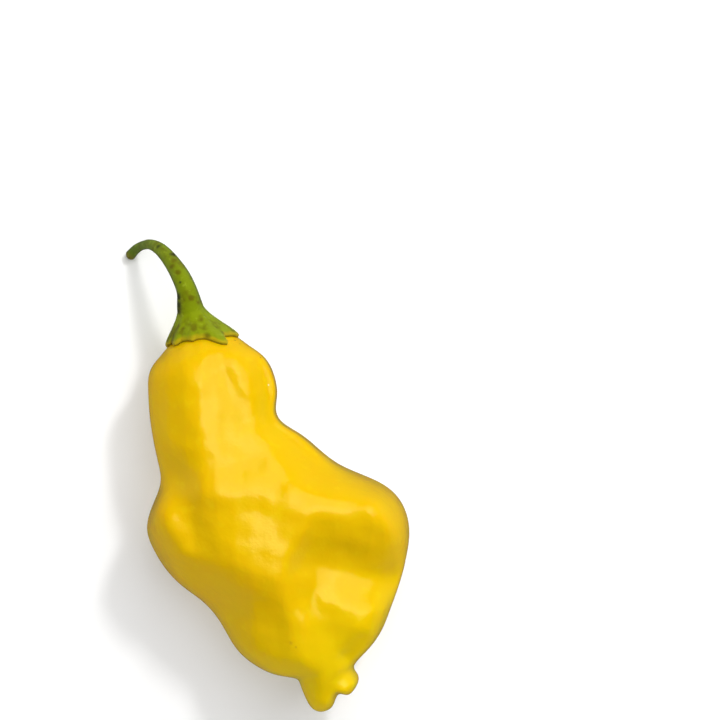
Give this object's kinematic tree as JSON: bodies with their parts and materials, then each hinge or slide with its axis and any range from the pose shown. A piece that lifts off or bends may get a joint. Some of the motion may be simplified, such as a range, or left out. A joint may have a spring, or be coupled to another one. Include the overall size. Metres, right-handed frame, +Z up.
{
  "type": "chilli pepper",
  "caption": "Whole yellow chilli pepper of the crown-shaped kind, lying on its side: a lobed, wrinkled pod that narrows to a neck, with a curved green stem flaring into its calyx.",
  "frame": {"origin": "on the surface that the pepper lies on, under the centre of its box", "axes": "+Z up from the surface; +Y along the pepper from its tip towards its stem; +X to the right seen from above"},
  "size_m": [0.0576, 0.0938, 0.0316],
  "materials": {
    "pod_skin": "smooth, waxy, glossy yellow skin",
    "green_stem": "matte yellow-green with brown flecks"
  },
  "bodies": {
    "root": {"pod": "pod_skin", "stem_and_calyx": "green_stem"}
  },
  "joints": []
}
